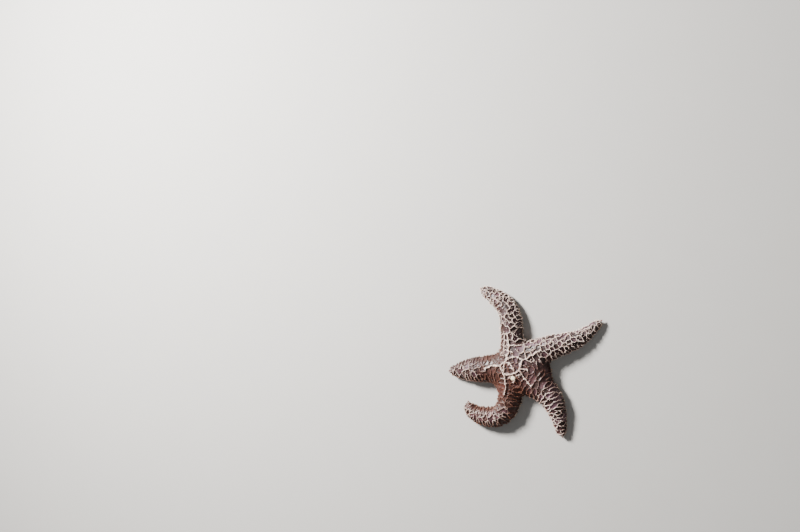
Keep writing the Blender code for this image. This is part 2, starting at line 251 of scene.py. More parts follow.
# ---- strong lines of spines ----
SHORT_LINES = (  # plan points in millimetres from the disc's middle
    ((-9, 10), (-1, 6), (4, -1)),
    ((-9, 10), (-10, 4), (-11, -4)),
    ((12, 0), (15, 0), (23, -1)),
    ((-4, -11), (-1, -11)),
    ((7, -9), (11, -8)),
    ((3, -15), (3, -18)),
)
CURVE_STEPS = 6


def curve_through(start, middle, end):
    """Plan points on one smooth curve through three points."""
    first = math.dist(start, middle)
    knee = first / (first + math.dist(middle, end))
    t = np.linspace(0, 1, CURVE_STEPS + 1)[:, None]
    return (start * (t - knee) * (t - 1) / knee + middle * t * (1 - t) / (knee - knee ** 2)
            + end * t * (t - knee) / (1 - knee))


def strong_lines():
    """The ring round the disc, a line out from each of its corners, and the short lines."""
    reach, turns = np.array([arm.corner for arm in ARMS]).T
    headings = np.radians([arm.heading for arm in ARMS] + turns)
    offsets = reach * MM * np.stack((np.cos(headings), np.sin(headings)))
    corners = list(DISC_CENTRE + offsets.T)
    ring = []
    lines = []
    for k, (arm, corner) in enumerate(zip(ARMS, corners)):
        side = corners[(k + 1) % len(ARMS)] - corner
        outward = np.array((side[1], -side[0])) / math.hypot(*side)
        middle = corner + 0.5 * side + outward * arm.bow * MM
        ring.extend(curve_through(corner, middle, corner + side)[:-1])
        places, sideways = np.array(arm.line).T * MM
        lines.append(curve_through(corner, *along_arm(k, places, sideways)))
    short = [np.array(line) * MM + DISC_CENTRE for line in SHORT_LINES]
    return [np.array(ring + corners[:1])] + lines + short


STRONG_LINES = strong_lines()


# ---- meshes ----
def read(items, field, width=1, kind=np.int32):
    """One field of all of a mesh's items, in rows of this width."""
    values = np.empty(len(items) * width, kind)
    items.foreach_get(field, values)
    return values.reshape(-1, width)


def read_mesh(mesh):
    co = read(mesh.vertices, "co", 3, np.float32)
    normals = read(mesh.vertex_normals, "vector", 3, np.float32)
    return co.astype(float), normals.astype(float)


def write_points(mesh, co):
    mesh.vertices.foreach_set("co", co.astype(np.float32).ravel())
    mesh.update()


def mesh_from(name, bm):
    """A mesh of a bmesh, which is freed."""
    mesh = bpy.data.meshes.new(name)
    bm.to_mesh(mesh)
    bm.free()
    return mesh


def fit_to_box(bm, node):
    """A shape of unit size moved and stretched into the box of a CAD node."""
    low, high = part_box(node)
    bmesh.ops.scale(bm, vec=high - low, verts=bm.verts[:])
    bmesh.ops.translate(bm, vec=0.5 * (low + high), verts=bm.verts[:])


def box_middle(node):
    low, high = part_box(node)
    return 0.5 * (low + high)


def set_attribute(mesh, name, values):
    layer = mesh.attributes.new(name, "FLOAT", "POINT")
    layer.data.foreach_set("value", values.astype(np.float32))


def add_object(name, data):
    made = bpy.data.objects.new(name, data)
    bpy.context.scene.collection.objects.link(made)
    return made


def add_piece(name, mesh, finish):
    piece = add_object(name, mesh)
    mesh.shade_smooth()
    mesh.materials.clear()
    mesh.materials.append(finish)
    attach(piece, "root")
    return piece


def speckle(co, size, seed):
    """Smooth noise from about -1 to 1 at each point, with features of this size."""
    shift = Vector((seed * 7.1, seed * 3.3, seed * 5.7))
    return np.array([noise.noise(Vector(p) + shift) for p in co / size])


# ---- skin ----
FLESH = sorted(name for name in NODES if name == "disc" or name.startswith("arm_"))
EYESPOT_EDGE = (1.5 * MM, 4.0 * MM)  # the coat thins out between these from an eyespot
EYESPOTS = sorted(name for name in NODES if name.startswith("eyespot_"))


def whole_shell():
    """The flesh solids as one closed shell: gaps healed, their faces and sockets gone."""
    bm = bmesh.new()
    for name in FLESH:
        bm.from_mesh(NODES[name].data)
    bmesh.ops.remove_doubles(bm, verts=bm.verts[:], dist=CLOSE_GAPS)
    crossing = {v for e in bm.edges if len(e.link_faces) > 2 for v in e.verts}
    inner = [f for f in bm.faces if all(v in crossing for v in f.verts)]
    bmesh.ops.delete(bm, geom=inner, context="FACES")
    for name in ["madreporite"] + EYESPOTS:
        low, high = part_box(name)
        reach = 0.5 * max(high - low) + SOCKET_WALL
        middle = box_middle(name)
        pit = [f for f in bm.faces if all((v.co - middle).length < reach for v in f.verts)]
        bmesh.ops.delete(bm, geom=pit, context="FACES")
    bmesh.ops.holes_fill(bm, edges=[e for e in bm.edges if e.is_boundary], sides=0)
    return mesh_from("shell", bm)


def even_mesh(mesh):
    """The same shape with small even faces."""
    shell = add_object("shell", mesh)
    even = shell.modifiers.new("even", "REMESH")
    even.mode = "VOXEL"
    even.voxel_size = VOXEL
    evaluated = shell.evaluated_get(bpy.context.evaluated_depsgraph_get())
    made = bpy.data.meshes.new_from_object(evaluated)
    bpy.data.objects.remove(shell)
    return made


def relaxed(values, ends, times):
    """Each point's values moved half way to the mean of its neighbours, again and again."""
    count = np.bincount(ends.ravel(), minlength=len(values)).astype(float)
    values = values.copy()
    for _ in range(times):
        total = np.empty_like(values)
        for i in range(values.shape[1]):
            total[:, i] = (np.bincount(ends[:, 0], values[ends[:, 1], i], len(values))
                           + np.bincount(ends[:, 1], values[ends[:, 0], i], len(values)))
        values = 0.5 * values + 0.5 * total / count[:, None]
    return values


def smoothed(co, ends):
    """Smoothing that gives back the size it took away."""
    soft = relaxed(co, ends, SMOOTHINGS)
    return soft + relaxed(co - soft, ends, SMOOTHINGS)


skin_mesh = even_mesh(whole_shell())
skin_ends = read(skin_mesh.edges, "vertices", 2)
outer, _ = read_mesh(skin_mesh)
outer = smoothed(outer, skin_ends)
write_points(skin_mesh, outer)
outer, normals = read_mesh(skin_mesh)
arm_of, along, across_all, arm_shares = arm_coordinates(outer)
across = across_all[arm_of, np.arange(len(outer))]
share_along = np.clip(along / ARM_LENGTHS[arm_of], 0, 1)


def section_sizes():
    """Half width and height of each arm at even steps along it."""
    tables = []
    for k, arm in enumerate(ARMS):
        mine = arm_of == k
        places = np.arange(0, arm.length * MM + PAST_TIP, SECTION_STEP)
        bins = np.clip(np.round(along[mine] / SECTION_STEP).astype(int), 0, len(places) - 1)
        width, height = np.zeros((2, len(places)))
        np.maximum.at(width, bins, np.abs(across[mine]))
        np.maximum.at(height, bins, outer[mine, 2])
        tables.append((places, np.maximum(width, TIP_SIZE[0]), np.maximum(height, TIP_SIZE[1])))
    return tables


SECTIONS = section_sizes()


def round_section():
    """Each point's angle round its arm's section from the ridge, as on a circle."""
    angle = np.empty(len(outer))
    for k, (places, widths, heights) in enumerate(SECTIONS):
        mine = arm_of == k
        width = np.interp(along[mine], places, widths)
        height = np.interp(along[mine], places, heights)
        middle = SECTION_MIDDLE * height
        rise = (outer[mine, 2] - middle) / (height - middle)
        angle[mine] = np.arctan2(across[mine] / width, rise)
    return angle


angle = round_section()
ORAL = fade(0.30, 0.75, -normals[:, 2]) * fade(*ORAL_EDGE, outer[:, 2])
from_disc = np.hypot(*(outer[:, :2] - DISC_CENTRE).T)


# ---- seeds of the cells ----
def to_strong_line(points):
    """The step in plan from each point to the nearest of the strong lines."""
    nearest = np.full((len(points), 2), 1.0)
    for line in STRONG_LINES:
        for a, b in zip(line[:-1], line[1:]):
            share = np.clip((points - a) @ (b - a) / ((b - a) @ (b - a)), 0, 1)
            step = a + share[:, None] * (b - a) - points
            closer = (step ** 2).sum(1) < (nearest ** 2).sum(1)
            nearest[closer] = step[closer]
    return nearest


def paired_seeds(line):
    """Seeds on both sides of a polyline, so that a border of cells runs along it."""
    runs = np.hypot(*(line[1:] - line[:-1]).T)
    marks = np.concatenate(((0,), np.cumsum(runs)))
    count = round(marks[-1] / LINE_CELL)
    seeds = []
    for station in (np.arange(count) + 0.5) / count * marks[-1]:
        i = min(np.searchsorted(marks, station) - 1, len(runs) - 1)
        direction = (line[i + 1] - line[i]) / runs[i]
        point = line[i] + direction * (station - marks[i] + draw(-0.5, 0.5) * MM)
        left = np.array((-direction[1], direction[0]))
        seeds += [point + left * LINE_PAIR, point - left * LINE_PAIR]
    return seeds


AROUND = [(a, b, c) for a in (-1, 0, 1) for b in (-1, 0, 1) for c in (-1, 0, 1)]


def kd_tree(points):
    tree = KDTree(len(points))
    for i, point in enumerate(points):
        tree.insert(point, i)
    tree.balance()
    return tree


def picked(points, order, reach, too_near, sure=0):
    """Indices of points in this order, less those too near to one before. The first are sure."""
    cells = np.floor(points / reach).astype(int)
    taken = {}
    kept = []
    for i in order:
        x, y, z = cells[i]
        others = [j for a, b, c in AROUND for j in taken.get((x + a, y + b, z + c), ())]
        if others and len(kept) >= sure and too_near(points[others] - points[i], i):
            continue
        taken.setdefault((x, y, z), []).append(i)
        kept.append(i)
    return np.array(kept)


def apart_enough(points, order, spacing):
    """The same, where each point has its own spacing."""
    spacing = np.broadcast_to(spacing, len(points))
    return picked(points, order, float(spacing.max()),
                  lambda steps, i: (steps ** 2).sum(1).min() < spacing[i] ** 2)


def ahead():
    """The direction along the nearest arm, level, at each point."""
    found = np.zeros((len(outer), 3))
    for k, (_, heading, distance) in enumerate(LINES):
        mine = arm_of == k
        turned = np.interp(along[mine], distance, heading)
        found[mine, :2] = np.stack((np.cos(turned), np.sin(turned)), 1)
    return found


def striping():
    """0 where the cells are as long as they are wide, 1 where they are cross stripes."""
    starts = np.zeros(len(outer))
    for share, sideways, arm in zip(arm_shares, across_all, ARMS):
        starts += share * np.radians(np.where(sideways > 0, *arm.striped_from))
    return (fade(starts - STRIPE_EDGE, starts + STRIPE_EDGE, np.abs(angle))
            * fade(*STRIPES_START, along))


def cell_frames():
    """At each point, three directions divided by the size of a cell in each direction."""
    first = AHEAD - normals * (AHEAD * normals).sum(1)[:, None]
    first /= np.maximum(norm(first, axis=1), 0.2)[:, None]
    second = np.cross(normals, first)
    square = np.interp(share_along, CELL_TAPER, CELL)
    square *= 1 + CELL_VARIETY * speckle(outer, 9 * MM, 4)
    webs = np.clip(2 - 2 * sum(share ** 2 for share in arm_shares), 0, 1)
    square *= 1 + WEB_GROWTH * webs * fade(*WEB_START, from_disc)
    length = square + (np.interp(share_along, CELL_TAPER, STRIPE) - square) * STRIPED
    run = square + (STRIPE_RUN * (1 - 0.4 * share_along) - square) * STRIPED
    sizes = np.stack((length, run, square), 1) * MM
    return np.stack((first, second, normals), 1) / sizes[:, :, None]


def seed_points():
    """Places of the cells' middles on the skin: pairs at the strong lines, then the rest."""
    top = np.flatnonzero(normals[:, 2] > 0.3)
    top_tree = kd_tree([(x, y, 0) for x, y in outer[top, :2]])
    paired = []
    for line in STRONG_LINES[:PAIRED_LINES]:
        for x, y in paired_seeds(line):
            i = top[top_tree.find((x, y, 0))[1]]
            if all(norm(outer[i] - outer[j]) > 0.7 * LINE_CELL for j in paired):
                paired.append(i)

    def too_near(steps, i):
        return ((steps @ CELL_FRAMES[i].T) ** 2).sum(1).min() < SPACING_SHARE ** 2

    order = paired + list(RANDOM.permutation(np.flatnonzero(ORAL < 0.5)))
    return outer[picked(outer, order, STRIPE_RUN * MM, too_near, len(paired))]


def cell_borders(co, seeds, frames):
    """For each point: its cell, how far and which way its nearest border is, and the
    border's own random number from 0 to 1.
    """
    tree = kd_tree(seeds)
    found = np.array([[index for _, index, _ in tree.find_n(point, NEIGHBOURS)]
                      for point in co])
    apart = np.einsum("nkj,nij->nki", seeds[found] - co[:, None], frames)
    far = (apart ** 2).sum(2)
    pick = np.arange(len(co))
    own = far.argmin(1)
    between = apart - apart[pick, own][:, None]
    length = norm(between, axis=2)
    length[pick, own] = 1.0
    gap = (far - far[pick, own][:, None]) / (2 * length)
    slope = np.einsum("nki,nij->nkj", between / length[:, :, None], frames)
    steep = norm(slope, axis=2)
    steep[pick, own] = 1.0
    gap /= steep
    gap[pick, own] = 1.0
    nearest = gap.argmin(1)
    way = slope[pick, nearest] / steep[pick, nearest][:, None]
    cell = found[pick, own]
    beyond = found[pick, nearest]
    number = (np.minimum(cell, beyond) * 7919 + np.maximum(cell, beyond) * 104729) % 1009
    return cell, gap[pick, nearest], way, number / 1009


AHEAD = ahead()
STRIPED = striping()
CELL_FRAMES = cell_frames()
seeds = seed_points()
SEED_TONE = draw(0, 1, len(seeds))
warped = outer + WARP * np.stack([speckle(outer, 3.6 * MM, s) for s in (1, 2, 3)], 1)
cell_of, border, way, chance = cell_borders(warped, seeds, CELL_FRAMES)
BORDER = chance ** 0.6
to_line = to_strong_line(warped[:, :2])
from_line = np.hypot(*to_line.T)
STRONG = fade(*LINE_EDGE, from_line) * fade(0.3, 0.6, normals[:, 2])
GONE = (chance < GONE_SHARE) & (STRONG < 0.2)
on_line = (STRONG > 0) & (from_line < border)
border = np.where(on_line, from_line, border)
way[on_line, :2] = to_line[on_line] / np.maximum(from_line[on_line], 1e-6)[:, None]
way[on_line, 2] = 0
runs_across = np.abs((way * AHEAD).sum(1))
CROSSWISE = 1 - 0.92 * STRIPED * fade(0.75, 0.35, runs_across)


def marking(shares):
    """A marking that the arms share out, from its values near the disc and further out."""
    flank = fade(*FLANK_EDGE, np.abs(angle))
    total = np.zeros(len(outer))
    for k, (near, far) in enumerate(shares):
        left, ridge, right = ((1 - far_out) * a + far_out * b for a, b in zip(near, far))
        side = np.where(across_all[k] > 0, left, right)
        total += arm_shares[k] * ((1 - flank) * ridge + flank * side)
    return total


blotch = speckle(outer, 14 * MM, 5)
far_out = fade(*FAR_OUT, along)
WARM = np.clip(marking([arm.orange for arm in ARMS]) + 0.25 * blotch, 0, 1)
# The lilac tint is partly the skin's own and partly painted wet sheen.
LILAC_AND_SHEEN = np.clip(marking([arm.lilac_and_sheen for arm in ARMS]) + 0.20 * blotch, 0, 1)
PALE = marking([arm.pale for arm in ARMS]) + 0.25 * speckle(outer, 6 * MM, 8)
PALE *= 1 - 0.55 * fade(*DULL_DISC, from_disc)
PALE = np.clip(PALE * (0.70 + 0.35 * BORDER) + 0.7 * STRONG, 0, 1)

half_width = RIDGE_HALF_WIDTH * (0.60 + 0.40 * PALE) * (1 - 0.25 * share_along)
half_width *= 1 - 0.16 * WARM
half_width += (STRONG_HALF_WIDTH - half_width) * STRONG
NET = 1 - fade(0.35 * half_width, 2.0 * half_width, border)
NET *= (0.3 + 0.7 * CROSSWISE) * (0.55 + 0.45 * np.maximum(BORDER, STRONG))
NET *= 1 - 0.75 * GONE

# Short spurs run from the borders into the cells, along a few borders of a finer net.
fine_size = SPUR_CELL * (1 - 0.25 * share_along) * MM
fine_frames = np.broadcast_to(np.eye(3), (len(outer), 3, 3)) / fine_size[:, None, None]
fine_seeds = outer[apart_enough(outer, RANDOM.permutation(np.flatnonzero(ORAL < 0.5)),
                                SPACING_SHARE * fine_size)]
_, fine_border, fine_way, fine_chance = cell_borders(warped, fine_seeds, fine_frames)
SPUR = (fade(1 - SPUR_SHARE, 1.1 - SPUR_SHARE, fine_chance)
        * fade(3.0 * MM, 1.8 * MM, border) * (1 - STRIPED) * (1 - STRONG)
        * fade(*SPURS_START, from_disc))
NET = np.maximum(NET, 0.75 * SPUR * (1 - fade(0.25 * MM, 1.1 * MM, fine_border)))
NET *= 1 - ORAL


near_eyespot = np.zeros(len(outer))
for name in EYESPOTS:
    from_eyespot = norm(outer - np.array(box_middle(name)), axis=1)
    near_eyespot = np.maximum(near_eyespot, 1 - fade(*EYESPOT_EDGE, from_eyespot))
depth = COAT_DEPTH + CELL_DEPTH * (1 - NET)
depth = depth * (1 - ORAL) + ORAL_DEPTH * ORAL
depth *= 1 - 0.7 * near_eyespot
skin_co = outer - normals * depth[:, None]
write_points(skin_mesh, skin_co)
for attribute, values in (("net", NET), ("oral", ORAL), ("warm", WARM), ("lilac_and_sheen", LILAC_AND_SHEEN),
                          ("pale", PALE), ("tone", SEED_TONE[cell_of])):
    set_attribute(skin_mesh, attribute, values)


def unwrap(piece):
    """The bake map of the skin, from its own shape."""
    bpy.context.view_layer.objects.active = piece
    piece.select_set(True)
    piece.data.uv_layers.new(name="OFBake")
    bpy.ops.object.mode_set(mode="EDIT")
    bpy.ops.mesh.select_all(action="SELECT")
    bpy.ops.uv.smart_project(angle_limit=math.radians(66), island_margin=0.002)
    bpy.ops.object.mode_set(mode="OBJECT")
    piece.select_set(False)


def vertex_places(mesh):
    """Each vertex's place on the bake map."""
    places = np.zeros((len(mesh.vertices), 2))
    corners = read(mesh.loops, "vertex_index")[:, 0]
    places[corners] = read(mesh.uv_layers["OFBake"].data, "uv", 2, np.float32)
    return places


# ---- materials ----
class Signal:
    """A socket that can be added, multiplied and so on, each time through a Math node."""

    def __init__(self, make, socket):
        self.make = make
        self.socket = socket

    def maths(self, operation, first, second):
        return self.make.node("ShaderNodeMath", 0, {"operation": operation}, {0: first, 1: second})

    def __add__(self, other):
        return self.maths("ADD", self, other)

    def __mul__(self, other):
        return self.maths("MULTIPLY", self, other)

    def __sub__(self, other):
        return self.maths("SUBTRACT", self, other)

    def __rsub__(self, other):
        return self.maths("SUBTRACT", other, self)

    __radd__ = __add__
    __rmul__ = __mul__


class Finish:
    """A material being made."""

    def __init__(self, name, **constants):
        self.material = bpy.data.materials.new(name)
        self.material.use_nodes = True
        self.tree = self.material.node_tree
        self.shader = self.tree.nodes["Principled BSDF"].inputs
        for socket, value in constants.items():
            self.shader[socket.replace("_", " ")].default_value = value
        self.place = self.node("ShaderNodeTexCoord", "Object", {}, {})

    def node(self, kind, output, settings, inputs):
        """One output of a new node. Inputs are sockets' names or numbers: values or links."""
        node = self.tree.nodes.new(kind)
        for key, value in settings.items():
            setattr(node, key, value)
        for key, value in inputs.items():
            self.put(node.inputs[key], value)
        return Signal(self, node.outputs[output])

    def put(self, slot, value):
        if isinstance(value, Signal):
            self.tree.links.new(value.socket, slot)
        elif slot.type == "RGBA":
            slot.default_value = (*value, 1.0)
        else:
            slot.default_value = value

    def attribute(self, name):
        return self.node("ShaderNodeAttribute", "Fac", {"attribute_name": name}, {})

    def noise(self, size, detail=3.0, roughness=0.5):
        return self.node("ShaderNodeTexNoise", "Fac", {},
                         {"Vector": self.place, "Scale": 1 / size, "Detail": detail,
                          "Roughness": roughness})

    def dots(self, size, feature="F1"):
        return self.node("ShaderNodeTexVoronoi", "Distance", {"feature": feature},
                         {"Vector": self.place, "Scale": 1 / size})

    def ramp(self, value, low, high):
        return self.node("ShaderNodeMapRange", 0, {"interpolation_type": "SMOOTHSTEP"},
                         {"Value": value, "From Min": low, "From Max": high})

    def mix(self, factor, first, second):
        return self.node("ShaderNodeMix", 2, {"data_type": "RGBA"},
                         {"Factor": factor, 6: first, 7: second})

    def finish(self, colour, roughness, *heights):
        """heights are pairs of a height from 0 to 1 and what it stands for in metres."""
        self.put(self.shader["Base Color"], colour)
        self.put(self.shader["Roughness"], roughness)
        bump = {}
        for height, size in heights:
            bump.update(Height=height, Distance=size, Strength=1.0)
            bump["Normal"] = self.node("ShaderNodeBump", "Normal", {}, bump)
        if bump:
            self.put(self.shader["Normal"], bump["Normal"])
        return self.material


# Colours are linear.
PURPLE_DARK = (0.007, 0.003, 0.003)
PURPLE_MID = (0.026, 0.01, 0.01)
PURPLE_LIGHT = (0.08, 0.046, 0.052)
ORANGE_DARK = (0.016, 0.005, 0.003)
ORANGE_MID = (0.047, 0.011, 0.0045)
ORANGE_LIGHT = (0.082, 0.02, 0.009)
# Lilac cells: partly the skin's own tint, partly painted wet sheen.
LILAC_AND_SHEEN_SKIN = (0.14, 0.07, 0.095)
ORAL_TAN = (0.52, 0.36, 0.2)
CREST_PALE = (0.58, 0.34, 0.26)
CREST_DULL = (0.07, 0.036, 0.034)
CREST_ORANGE = (0.1, 0.026, 0.011)
SPINE_WHITE = (0.99, 0.81, 0.72)
SPINE_DULL = (0.085, 0.045, 0.04)
SPINE_ORANGE = (0.23, 0.078, 0.04)
SPINE_BASE = (0.14, 0.055, 0.045)
SPINE_BASE_WARM = (0.17, 0.05, 0.023)
MOUTH_TAN = (0.5, 0.32, 0.19)
MOUTH_BROWN = (0.36, 0.2, 0.12)
# Painted shade for the mouth's opening.
MOUTH_OPENING_SHADE = (0.05, 0.02, 0.015)
PLATE_CREAM = (0.9, 0.82, 0.62)
PLATE_STAIN = (0.66, 0.52, 0.36)
# Painted shade in the plate's grooves.
PLATE_GROOVE_SHADE = (0.42, 0.3, 0.17)
FLOOR_LIGHT = (0.35, 0.34, 0.325)
FLOOR_DARK = (0.305, 0.295, 0.28)


def skin_finish():
    """Purple or orange mottled cells, some lilac partly from painted wet sheen, pale crests,
    grainy and thinly wet.
    """
    make = Finish("star_skin", Coat_Weight=0.16, Coat_Roughness=0.26, IOR=1.28)
    net, warm, oral, tone, pale, lilac_and_sheen = map(
        make.attribute, ("net", "warm", "oral", "tone", "pale", "lilac_and_sheen"))
    mottle = make.ramp(make.noise(1.6 * MM, 4.0), 0.35, 0.68)
    broad = make.ramp(make.noise(9 * MM, 2.0), 0.35, 0.65)
    purple = make.mix(mottle, PURPLE_DARK, PURPLE_MID)
    orange = make.mix(mottle, ORANGE_DARK, ORANGE_MID)
    colour = make.mix(warm, purple, orange)
    lit = make.ramp(tone * 0.6 + broad * 0.4, 0.50, 1.0)
    colour = make.mix(lit * 0.5, colour, make.mix(warm, PURPLE_LIGHT, ORANGE_LIGHT))
    # Lilac in the cells: partly the skin's own tint, partly painted wet sheen.
    lilac_and_sheen = lilac_and_sheen * make.ramp(tone * 0.7 + mottle * 0.3, 0.30, 0.80)
    colour = make.mix(lilac_and_sheen * 0.75, colour, LILAC_AND_SHEEN_SKIN)
    crest = make.mix(pale * pale, make.mix(warm, CREST_DULL, CREST_ORANGE), CREST_PALE)
    colour = make.mix(make.ramp(net, 0.55, 1.0), colour, crest)
    specks = make.ramp(make.dots(0.75 * MM), 0.30, 0.16)
    specks = specks * make.ramp(make.noise(2.5 * MM), 0.4, 0.6)
    colour = make.mix(specks * 0.22, colour, SPINE_ORANGE)
    tan = make.mix(mottle, ORAL_TAN, tuple(0.7 * c for c in ORAL_TAN))
    colour = make.mix(oral, colour, tan)
    grain = make.dots(0.55 * MM, "SMOOTH_F1")
    wrinkle = make.noise(0.9 * MM, 4.0, 0.6)
    roughness = make.ramp(wrinkle, 0.3, 0.7) * 0.22 + 0.40
    return make.finish(colour, roughness, (1 - grain, 0.28 * MM), (wrinkle, 0.18 * MM))


def spine_finish():
    """Dark at the base; the tip white, dull or orange."""
    make = Finish("star_spines", IOR=1.42, Coat_Weight=0.15, Coat_Roughness=0.2)
    height, warm, pale, tone = map(make.attribute, ("height", "warm", "pale", "tone"))
    dull = make.mix(warm, SPINE_DULL, SPINE_ORANGE)
    tip = make.mix(pale * pale * (1 - tone * 0.25), dull, SPINE_WHITE)
    base = make.mix(warm, SPINE_BASE, SPINE_BASE_WARM)
    colour = make.mix(make.ramp(height, 0.10, 0.60), base, tip)
    grain = make.noise(0.30 * MM)
    colour = make.mix(make.ramp(grain, 0.5, 0.8) * 0.25, colour, base)
    return make.finish(colour, make.ramp(grain, 0.3, 0.7) * 0.2 + 0.42, (grain, 0.05 * MM))


SKIN = skin_finish()
SPINES = spine_finish()
skin = add_piece("skin", skin_mesh, SKIN)
unwrap(skin)
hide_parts(*FLESH)
skin_places = vertex_places(skin_mesh)


# ---- spines ----
def spun(outline, steps):
    """A bmesh of an outline, as (radius, height), spun a full turn about the upright axis."""
    bm = bmesh.new()
    points = [bm.verts.new((radius, 0, height)) for radius, height in outline]
    sides = [bm.edges.new(pair) for pair in zip(points, points[1:])]
    bmesh.ops.spin(bm, geom=points + sides, cent=(0, 0, 0), axis=(0, 0, 1),
                   angle=2 * math.pi, steps=steps, use_merge=True)
    bmesh.ops.remove_doubles(bm, verts=bm.verts[:], dist=1e-6)
    bmesh.ops.recalc_face_normals(bm, faces=bm.faces[:])
    return bm


def spine_shape(outline, sides):
    """A small closed post, one unit tall: its points and its triangles."""
    bm = spun(((0, 0),) + outline + ((0, 1),), sides)
    bmesh.ops.triangulate(bm, faces=bm.faces[:])
    bm.verts.index_update()
    points = np.array([v.co[:] for v in bm.verts])
    triangles = np.array([[v.index for v in f.verts] for f in bm.faces])
    bm.free()
    return points, triangles


def unit(vectors):
    return vectors / norm(vectors, axis=1, keepdims=True)


def leaning(directions, spread, count):
    """Unit vectors that lean a little away from the directions."""
    return unit(directions + RANDOM.normal(0, spread, (count, 3)))


def bases(directions, turns):
    """Matrices whose third column is each direction, turned about it."""
    helper = np.where(np.abs(directions[:, 2:3]) < 0.9, (0.0, 0.0, 1.0), (1.0, 0.0, 0.0))
    side = unit(np.cross(helper, directions))
    other = np.cross(directions, side)
    c = np.cos(turns)[:, None]
    s = np.sin(turns)[:, None]
    return np.stack((side * c + other * s, other * c - side * s, directions), 2)


def copies(shape, roots, directions, widths, heights):
    """Every copy of a shape, as points and triangles."""
    points, triangles = shape
    turned = bases(directions, draw(0, 2 * math.pi, len(roots)))
    scaled = points[None] * np.stack((widths, widths, heights), 1)[:, None]
    co = roots[:, None] + np.einsum("nij,nkj->nki", turned, scaled)
    index = triangles[None] + (np.arange(len(roots)) * len(points))[:, None, None]
    return co.reshape(-1, 3), index.reshape(-1, 3)


def patches(shape, places):
    """The bake map of the copies: each laid flat, tip in the middle, at its root's place."""
    points, triangles = shape
    reach = PATCH * (1 - PATCH_RISE * points[:, 2])
    spoke = np.arctan2(points[:, 1], points[:, 0])
    flat = np.stack((np.cos(spoke), np.sin(spoke)), 1) * reach[:, None]
    return (places[:, None, None] + flat[triangles][None]).reshape(-1, 2)


def add_spines(name, shape, roots, directions, widths, heights, vertex, slot, finish, **values):
    """Joined pieces of copies that stand on these vertices of the skin."""
    points, triangles = shape
    widths = np.broadcast_to(widths, len(roots))
    count = math.ceil(len(roots) / (MOST_TRIANGLES // len(triangles)))
    for part, mine in enumerate(np.array_split(np.arange(len(roots)), count)):
        co, index = copies(shape, roots[mine], directions[mine], widths[mine], heights[mine])
        label = f"{name}_{part + 1}" if count > 1 else name
        mesh = bpy.data.meshes.new(label)
        mesh.from_pydata(co, [], index)
        layer = mesh.uv_layers.new(name="OFBake")
        uv = patches(shape, skin_places[vertex[mine]])
        layer.data.foreach_set("uv", uv.astype(np.float32).ravel())
        set_attribute(mesh, "height", np.tile(points[:, 2], len(mine)))
        for key, value in values.items():
            set_attribute(mesh, key, np.repeat(value[mine], len(points)))
        add_piece(label, mesh, finish)


def net_spines():
    """Spines on the ridges of the net, thickest on the strong lines."""
    chance = draw(0, 1, len(outer))
    open_skin = (ORAL < 0.35) & (near_eyespot < 0.9)
    main = np.flatnonzero(open_skin & (border < 1.35 * half_width) & (chance < CROSSWISE)
                          & ~GONE)
    spurs = np.flatnonzero(open_skin & (fine_border < 0.60 * MM) & (border > 1.2 * MM)
                           & (chance < SPUR))
    plate = np.array(box_middle("madreporite"))
    from_plate = norm(outer - plate, axis=1)
    rim = np.flatnonzero((from_plate > PLATE_RIM[0]) & (from_plate < PLATE_RIM[1]))
    vertex = np.concatenate([RANDOM.permutation(part) for part in (rim, main, spurs)])
    on_rim = np.arange(len(vertex)) < len(rim)
    on_spur = np.arange(len(vertex)) >= len(rim) + len(main)
    sideways = np.where(on_spur[:, None], fine_way[vertex], way[vertex])
    flat = sideways - normals[vertex] * (sideways * normals[vertex]).sum(1)[:, None]
    step = np.where(on_spur, fine_border[vertex], border[vertex])
    step *= ~on_rim / np.maximum((flat * sideways).sum(1), 0.3)
    loose = STRONG[vertex] * 0.20 * MM + 0.15 * MM
    step = step + draw(-1, 1, len(step)) * loose
    roots = skin_co[vertex] + flat * step[:, None]
    roots -= normals[vertex] * 0.12 * MM
    clear = np.flatnonzero(norm(roots - plate, axis=1) > PLATE_CLEAR)
    spacing = SPINE_SPACING * (1 - 0.12 * share_along[vertex])
    kept = apart_enough(roots, clear, spacing)
    vertex = vertex[kept]
    lean = leaning(normals[vertex], 0.09, len(kept))
    size = 1 - 0.10 * share_along[vertex] + 0.24 * STRONG[vertex] - 0.20 * on_spur[kept]
    size *= (0.72 + 0.34 * PALE[vertex]) * (0.88 + 0.20 * BORDER[vertex])
    widths = SPINE_RADIUS * size * draw(0.82, 1.18, len(kept))
    heights = SPINE_HEIGHT * size * draw(0.85, 1.12, len(kept))
    shape = spine_shape(((0.72, 0), (0.66, 0.42), (0.98, 0.72), (0.80, 0.93)), SPINE_SIDES)
    add_spines("net_spines", shape, roots[kept], lean, widths, heights, vertex, "skin_purple",
               SPINES, warm=WARM[vertex], pale=PALE[vertex],
               tone=draw(0, 1, len(kept)) * (1 - 0.7 * STRONG[vertex]))


net_spines()


# ---- underside ----
def plain_finish(name, light, dark, size, **constants):
    """Two tones in soft patches, with fine grain."""
    make = Finish(name, **constants)
    grain = make.noise(0.35 * MM)
    colour = make.mix(make.ramp(make.noise(size), 0.35, 0.68), light, dark)
    roughness = make.ramp(grain, 0.3, 0.7) * 0.2 + 0.35
    return make.finish(colour, roughness, (grain, 0.06 * MM))


